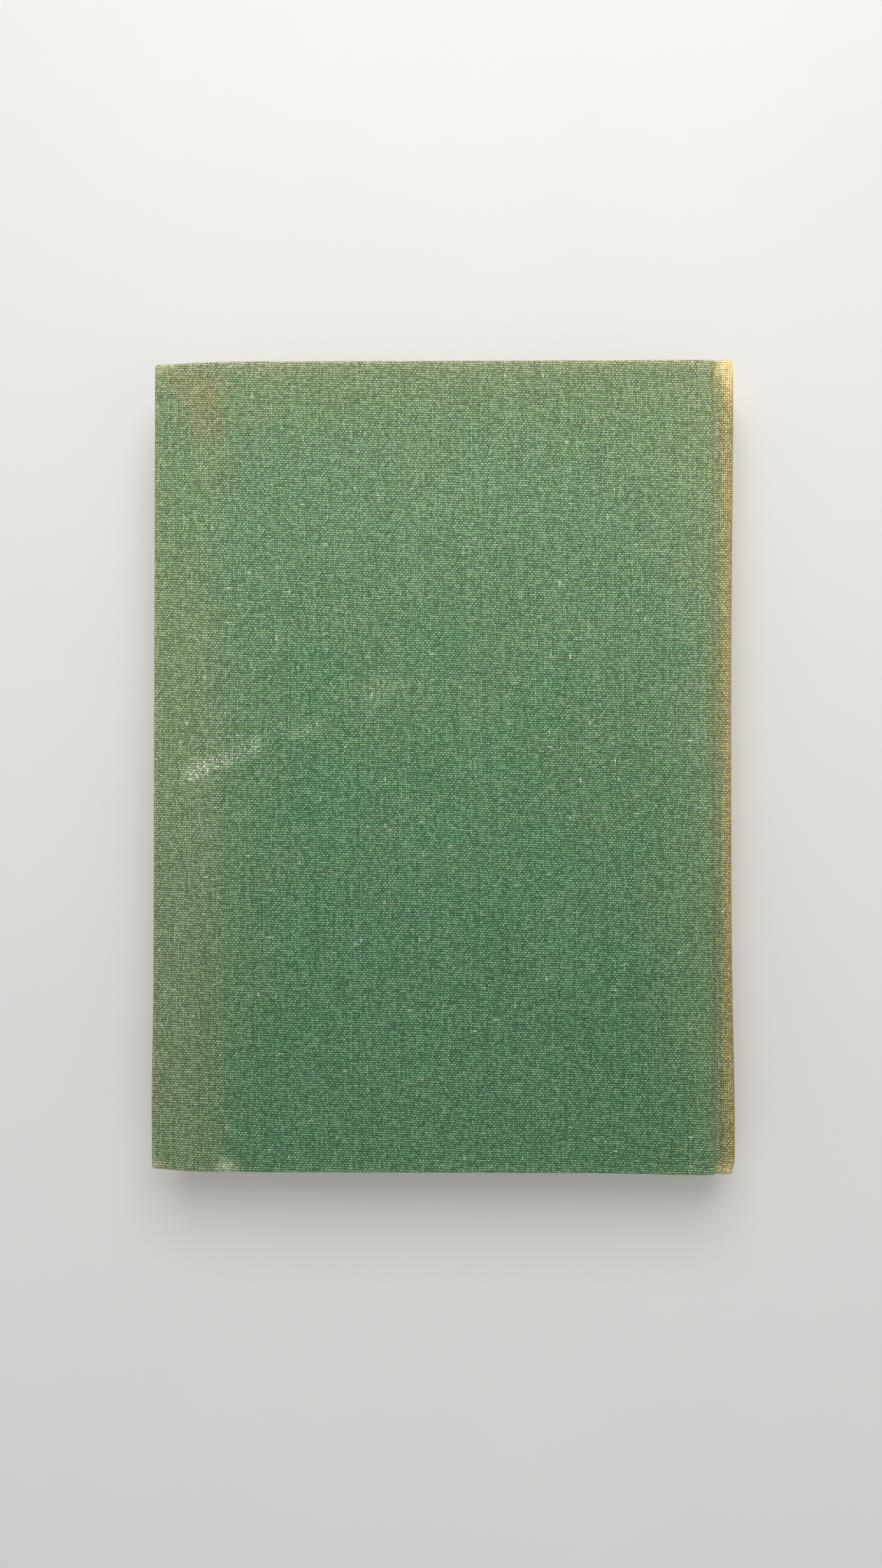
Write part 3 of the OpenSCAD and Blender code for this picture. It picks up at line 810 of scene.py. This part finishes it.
def bookcloth(looks, section):
    """Green cloth, faded along its edges and sunned on the spine, with stains, scuffs and worn edges,
    painted shade in the weave's gaps and towards the tail, and painted highlights on the threads.
    """
    shader = Shader("Bookcloth")
    places = shader.flat()
    u, v, _ = shader.parts(places)
    height, light = weave(shader, looks, places)
    total = section.run[-1]
    valley = total - section.run[np.argmin(np.abs(section.outer[:, 0] - JOINT_X))]
    cloud = shader.noise(places, 0.045, 4)
    blotch = shader.noise(places, 0.3, 3)
    ragged = (shader.noise(places, 0.45, 3) - 0.5) * 0.9
    reach = u.size()
    fore, head, tail = total - reach, HALF_H - v, HALF_H + v
    joint = reach - valley
    top = head.fading(32) * 0.115 + head.at_least(0).fading(8) * 0.1
    left = 0.28 - shader.ease(v, -100, -20) * 0.04 - shader.ease(v, 0, 95) * 0.15
    left = left / ((fore / 19) ** 4 + 1)
    right = (0.165 - v * 0.0002) / ((joint / 11) ** 2 + 1)
    crease = joint.size().fading(2.2) * 0.08
    age = v * 0.0008 + 0.025
    fade = age + (top * top + left * left) ** 0.5 + right + crease
    fade = fade + (cloud - 0.5) * 0.16 + (blotch - 0.5) * 0.1
    shade = shader.mix(looks.dyed, looks.faded, fade.at_most(1).at_least(0))
    spine_middle = shader.mix(looks.sunned_tail, looks.sunned, shader.ease(v, -95, 10))
    spine = shader.mix(spine_middle, looks.bleached, shader.ease(v, 93, 108))
    sun = 1 - shader.ease(joint + (blotch - 0.5) * 1.6, -6.2, 2)
    sun = sun + shader.ease(v, 101, 107) * sun * (1 - sun)
    shade = shader.mix(shade, spine, sun * 0.97)
    shade = scuffed(shader, looks, shade, places, total, ragged)
    rubbed = head.size().fading(0.9) * 0.45 + fore.size().fading(0.8) * 0.13
    rubbed = rubbed + tail.size().fading(0.8) * 0.12
    shade = shader.mix(shade, looks.worn, (rubbed * shader.ease(height, 0.3, 0.85)).at_most(0.85))
    # Pale nap fibres, with a painted highlight where the threads' crowns stand high
    shade = shader.mix(shade, looks.nap_and_highlight, shader.ease(height * light, 0.6, 1.2) * 0.2)
    fuzz = shader.noise(places, 5, 2) * 0.7 + 0.65
    # Painted shade: the cloth grows darker towards the tail, as if the light from the head fell off
    painted_tail_shade = v.at_most(70).at_least(-60) * 0.0013 + 0.795
    # Painted shade in the gaps of the weave and painted highlight on the threads' crowns, by their height
    painted_weave_shading = shader.ease(height, 0.13, 0.79) * 2.86 + 0.04
    painted_weave_shading = painted_weave_shading + (1.1 - painted_weave_shading) * (top * 0.9)
    shade = shader.scaled(shade, painted_weave_shading * light * fuzz * painted_tail_shade)
    return shader.finish(shade, 0.9, height, looks.relief / MM, 0.1)


def gauze(looks):
    """The mull: a coarse open weave of thin threads on Object coordinates, dark in its gaps."""
    shader = Shader("Mull")
    places = shader.object()
    x, y, z = shader.parts(places)
    wander = shader.noise(places, 0.2, 2) * 1.2
    pitch = looks.pitch / MM
    across, along = (x + z + wander) / pitch, (y + wander) / pitch
    warp = ((along - 0.5 + across.floor()) * math.pi).cosine() * 0.3 + 0.7
    weft = 0.7 - ((across - 0.5 + along.floor()) * math.pi).cosine() * 0.3
    warp = warp * (across * math.pi).sine().size() ** 0.7
    height = warp.at_least(weft * (along * math.pi).sine().size() ** 0.7)
    shade = shader.mix(looks.gap, looks.threads, shader.ease(height, 0.35, 0.7))
    shade = shader.scaled(shade, shader.noise(places, 1.5, 3) * 0.3 + 0.85)
    return shader.finish(shade, 0.85, height, 0.12)


def endpaper(looks):
    """Paper with faint fibres, foxed and toned towards the leaves' outer edges."""
    shader = Shader("Endpaper")
    places = shader.object()
    x, y, _ = shader.parts(places)
    cloud = shader.noise(places, 0.05, 4)
    fine = shader.noise(places, 2, 3)
    rim = (x - LEAF_X).at_most(PAGE_HALF - y.size())
    toned = rim.at_least(0).fading(7) * 0.65 + (cloud - 0.4) * 0.35
    fox = shader.ease(shader.noise(places, 0.28, 1), 0.72, 0.8) * 0.3
    shade = shader.mix(looks.endpaper, looks.toned, (toned + fox).at_most(1).at_least(0))
    shade = shader.scaled(shade, fine * 0.1 + 0.95)
    return shader.finish(shade, 0.8, fine, 0.03)


def leaf_edges(looks):
    """The leaves: toned edges with fine lines from one leaf to the next, and paper on the faces."""
    shader = Shader("Leaves")
    places = shader.object()
    x, y, z = shader.parts(places)
    fine = shader.noise(shader.vector(x * 0.02, y * 0.02, z * 10), 1, 3)
    coarse = shader.noise(shader.vector(x * 0.006, y * 0.006, z * 2.4), 1, 4)
    streak = shader.ease(fine, 0.25, 0.7) * 0.6 + shader.ease(coarse, 0.3, 0.65) * 0.4
    cloud = shader.noise(places, 0.06, 4)
    dust = shader.ease(shader.noise(places, 0.5, 3), 0.55, 0.8)
    rim = (x - LEAF_X - 3).at_most(PAGE_HALF - y.size())
    toned = rim.at_least(0).fading(5)
    shade = shader.mix(looks.paper, looks.toned, (toned * (cloud * 0.5 + 0.6)).at_most(1))
    shade = shader.scaled(shade, streak * 0.45 + 0.72 - dust * 0.08)
    return shader.finish(shade, 0.85, streak, 0.02)


def card(name, tone):
    """Grey board or brown paper: pressed fibres and flecks."""
    shader = Shader(name)
    places = shader.object()
    fibres = shader.noise(places, 1.6, 5)
    flecks = shader.ease(shader.noise(places, 4, 1), 0.66, 0.74)
    shade = shader.scaled(tone, fibres * 0.5 + 0.75 - flecks * 0.3)
    return shader.finish(shade, 0.9, fibres, 0.05)


def sewn_band(looks):
    """The bead's thread, wound in two colours in turn, on its flat map's run along the round, with painted
    shade in the grooves between turns.
    """
    shader = Shader("Band")
    run, _, _ = shader.parts(shader.flat())
    stripe = shader.ease((run / (looks.stripe / MM) * math.pi).sine(), -0.08, 0.08)
    wound = (run / (looks.thread / MM) * math.pi).sine().size()
    shade = shader.mix(looks.dark, looks.light, stripe)
    # Painted shade in the grooves between the turns of thread
    shade = shader.scaled(shade, shader.ease(wound, 0, 0.6) * 0.6 + 0.45)
    return shader.finish(shade, 0.6, wound, 0.05)


def pale_floor(looks):
    """A plain floor with the faintest grain, lit near the book. Further out it shows one pale tone."""
    shader = Shader("Floor")
    places = shader.object()
    x, y, _ = shader.parts(places)
    grain = shader.noise(places, 0.02, 3)
    lit = shader.surface(shader.scaled(looks.floor, grain * 0.04 + 0.98), 0.7, grain, 0.001)
    pale = shader.node("ShaderNodeEmission", {}, {"Color": looks.pale, "Strength": 1})
    out = shader.ease((x * x + y * y) ** 0.5, looks.near / MM, looks.far / MM)
    shader.node("ShaderNodeOutputMaterial", {}, {0: shader.seen(lit, pale, out)})
    return shader.owner


def sky(looks):
    """Even white light from all round, behind which the same pale tone shows as on the far floor."""
    shader = Shader("Sky", "worlds")
    light = shader.node("ShaderNodeBackground", {}, {"Color": (1, 1, 1), "Strength": looks.sky})
    pale = shader.node("ShaderNodeBackground", {}, {"Color": looks.pale, "Strength": 1})
    shader.node("ShaderNodeOutputWorld", {}, {0: shader.seen(light, pale)})
    return shader.owner


# The covers, and the side of the middle leaf that each is on
COVERS = (("back", 1), ("front", -1))


def bent_at_joint(made):
    """Bakes the piece's place into its own mesh."""
    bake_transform(made)


class CaseOperator(bpy.types.Operator):
    """Cloth over both covers and the spine, in two halves that meet in the middle of the spine"""

    bl_idname = "book.cloth"
    bl_label = "Bookcloth"

    def execute(self, context):
        case, looks = context.scene.book_case, context.scene.book_cloth
        section = case_section(case)
        material = bookcloth(looks, section)
        for cover, side in COVERS:
            made = piece(cover + "_bookcloth", cloth_patches(case, side), material, side < 0, CLOTH_T)
            bent_at_joint(made)
            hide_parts(cover + "_cloth", "spine_cloth")
        return {"FINISHED"}


class BoardsOperator(bpy.types.Operator):
    """The two boards, with the bumped corners that the cloth over them shows"""

    bl_idname = "book.boards"
    bl_label = "Boards"

    def execute(self, context):
        material = card("Board", context.scene.book_inner.board)
        for cover, side in COVERS:
            made = piece(cover + "_board_worn", board_patches(context.scene.book_case), material, side < 0)
            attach(made, cover + "_cover")
            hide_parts(cover + "_board")
        return {"FINISHED"}


class EndpapersOperator(bpy.types.Operator):
    """The glued-down and the free half of each endpaper"""

    bl_idname = "book.endpapers"
    bl_label = "Endpapers"

    def execute(self, context):
        case, looks = context.scene.book_case, context.scene.book_leaves
        material = endpaper(looks)
        for cover, side in COVERS:
            glued = piece(cover + "_endpaper_glued", endpaper_patches(case), material, side < 0, PAPER_T)
            bent_at_joint(glued)
            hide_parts(cover + "_pastedown")
            free = piece(cover + "_endpaper_free", flyleaf_patches(case), material, side < 0, PAPER_T)
            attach(free, "block")
            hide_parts(cover + "_flyleaf")
        return {"FINISHED"}


class LeavesOperator(bpy.types.Operator):
    """The leaves, as one block"""

    bl_idname = "book.leaves"
    bl_label = "Leaves"

    def execute(self, context):
        looks = context.scene.book_leaves
        made = piece("leaves", leaves_patches(context.scene.book_case, looks), leaf_edges(looks))
        made.data.shade_flat()
        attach(made, "block")
        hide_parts("text_block")
        return {"FINISHED"}


class BandsOperator(bpy.types.Operator):
    """The sewn bands at head and tail"""

    bl_idname = "book.bands"
    bl_label = "Bands"

    def execute(self, context):
        looks = context.scene.book_bands
        material = sewn_band(looks)
        for name, end in (("head", 1), ("tail", -1)):
            made = piece(name + "_band_sewn", band_patches(context.scene.book_case, looks, end), material)
            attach(made, "block")
            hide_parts(name + "_band")
        return {"FINISHED"}


class LiningOperator(bpy.types.Operator):
    """Finishes for the card, the mull and the lining that the frame itself shows"""

    bl_idname = "book.lining"
    bl_label = "Mull, lining and card"

    def execute(self, context):
        looks = context.scene.book_inner
        mull = gauze(looks)
        for node, material in (
                ("spine_mull", mull), ("back_mull_flap", mull), ("front_mull_flap", mull),
                ("spine_lining", card("Kraft paper", looks.kraft)),
                ("spine_inlay", card("Spine card", looks.board))):
            for slot in bpy.data.objects[node].material_slots:
                slot.material = material
        return {"FINISHED"}


class StageOperator(bpy.types.Operator):
    """The floor, the light and the camera"""

    bl_idname = "book.stage"
    bl_label = "Stage"

    def execute(self, context):
        looks, scene = context.scene.book_stage, context.scene
        mesh = bpy.data.meshes.new("floor")
        half, below = 3, -0.0003
        corners = [(x * half, y * half, below) for x, y in ((-1, -1), (1, -1), (1, 1), (-1, 1))]
        mesh.from_pydata(corners, [], [(0, 1, 2, 3)])
        mesh.materials.append(pale_floor(looks))
        floor = bpy.data.objects.new("floor", mesh)
        scene.collection.objects.link(floor)

        scene.world = sky(looks)

        lamp = bpy.data.lights.new("key", "AREA")
        lamp.energy, lamp.size = looks.key, looks.lamp
        key = bpy.data.objects.new("key", lamp)
        key.location = (looks.lamp_aside, looks.lamp_out, looks.lamp_up)
        key.rotation_euler = (-math.atan2(looks.lamp_out, looks.lamp_up), 0, 0)
        scene.collection.objects.link(key)

        lens = bpy.data.cameras.new("camera")
        lens.lens, lens.sensor_width, lens.sensor_fit = looks.lens, 36, "AUTO"
        camera = bpy.data.objects.new("camera", lens)
        camera.location = (looks.aside, -looks.below, 2 * FACE_W * MM + looks.distance)
        camera.rotation_euler = (looks.tilt, looks.lean, 0)
        scene.collection.objects.link(camera)
        scene.camera = camera
        scene.view_settings.view_transform = "Standard"
        return {"FINISHED"}


class BookPanel(bpy.types.Panel):
    """Sizes and colours of the book, and a button for each group of pieces"""

    bl_idname = "VIEW3D_PT_book"
    bl_label = "Hardback book"
    bl_space_type = "VIEW_3D"
    bl_region_type = "UI"
    bl_category = "Book"

    def draw(self, context):
        for name, group, _ in GROUPS:
            settings = getattr(context.scene, name)
            box = self.layout.box()
            box.label(text=group)
            for prop in settings.__annotations__:
                box.prop(settings, prop)
        for operator in OPERATORS:
            self.layout.operator(operator.bl_idname)


GROUPS = (
    ("book_case", "Case", CaseSizes), ("book_cloth", "Cloth", ClothLooks),
    ("book_leaves", "Leaves", LeafLooks), ("book_bands", "Bands", BandLooks),
    ("book_inner", "Board and mull", InnerLooks), ("book_stage", "Stage", StageLooks))
OPERATORS = (
    CaseOperator, BoardsOperator, EndpapersOperator, LeavesOperator, BandsOperator, LiningOperator,
    StageOperator)


def register():
    """Registers the classes and ties each group of settings to the scene."""
    for kind in (*(group for _, _, group in GROUPS), *OPERATORS, BookPanel):
        bpy.utils.register_class(kind)
    for name, _, group in GROUPS:
        setattr(bpy.types.Scene, name, bpy.props.PointerProperty(type=group))


def unregister():
    """Takes the groups of settings from the scene and the classes out again."""
    for name, _, _ in GROUPS:
        delattr(bpy.types.Scene, name)
    for kind in (BookPanel, *OPERATORS[::-1], *(group for _, _, group in GROUPS[::-1])):
        bpy.utils.unregister_class(kind)


def main():
    """Makes every piece and the stage."""
    register()
    for operator in OPERATORS:
        space, name = operator.bl_idname.split(".")
        getattr(getattr(bpy.ops, space), name)()


if __name__ == "__main__":
    main()
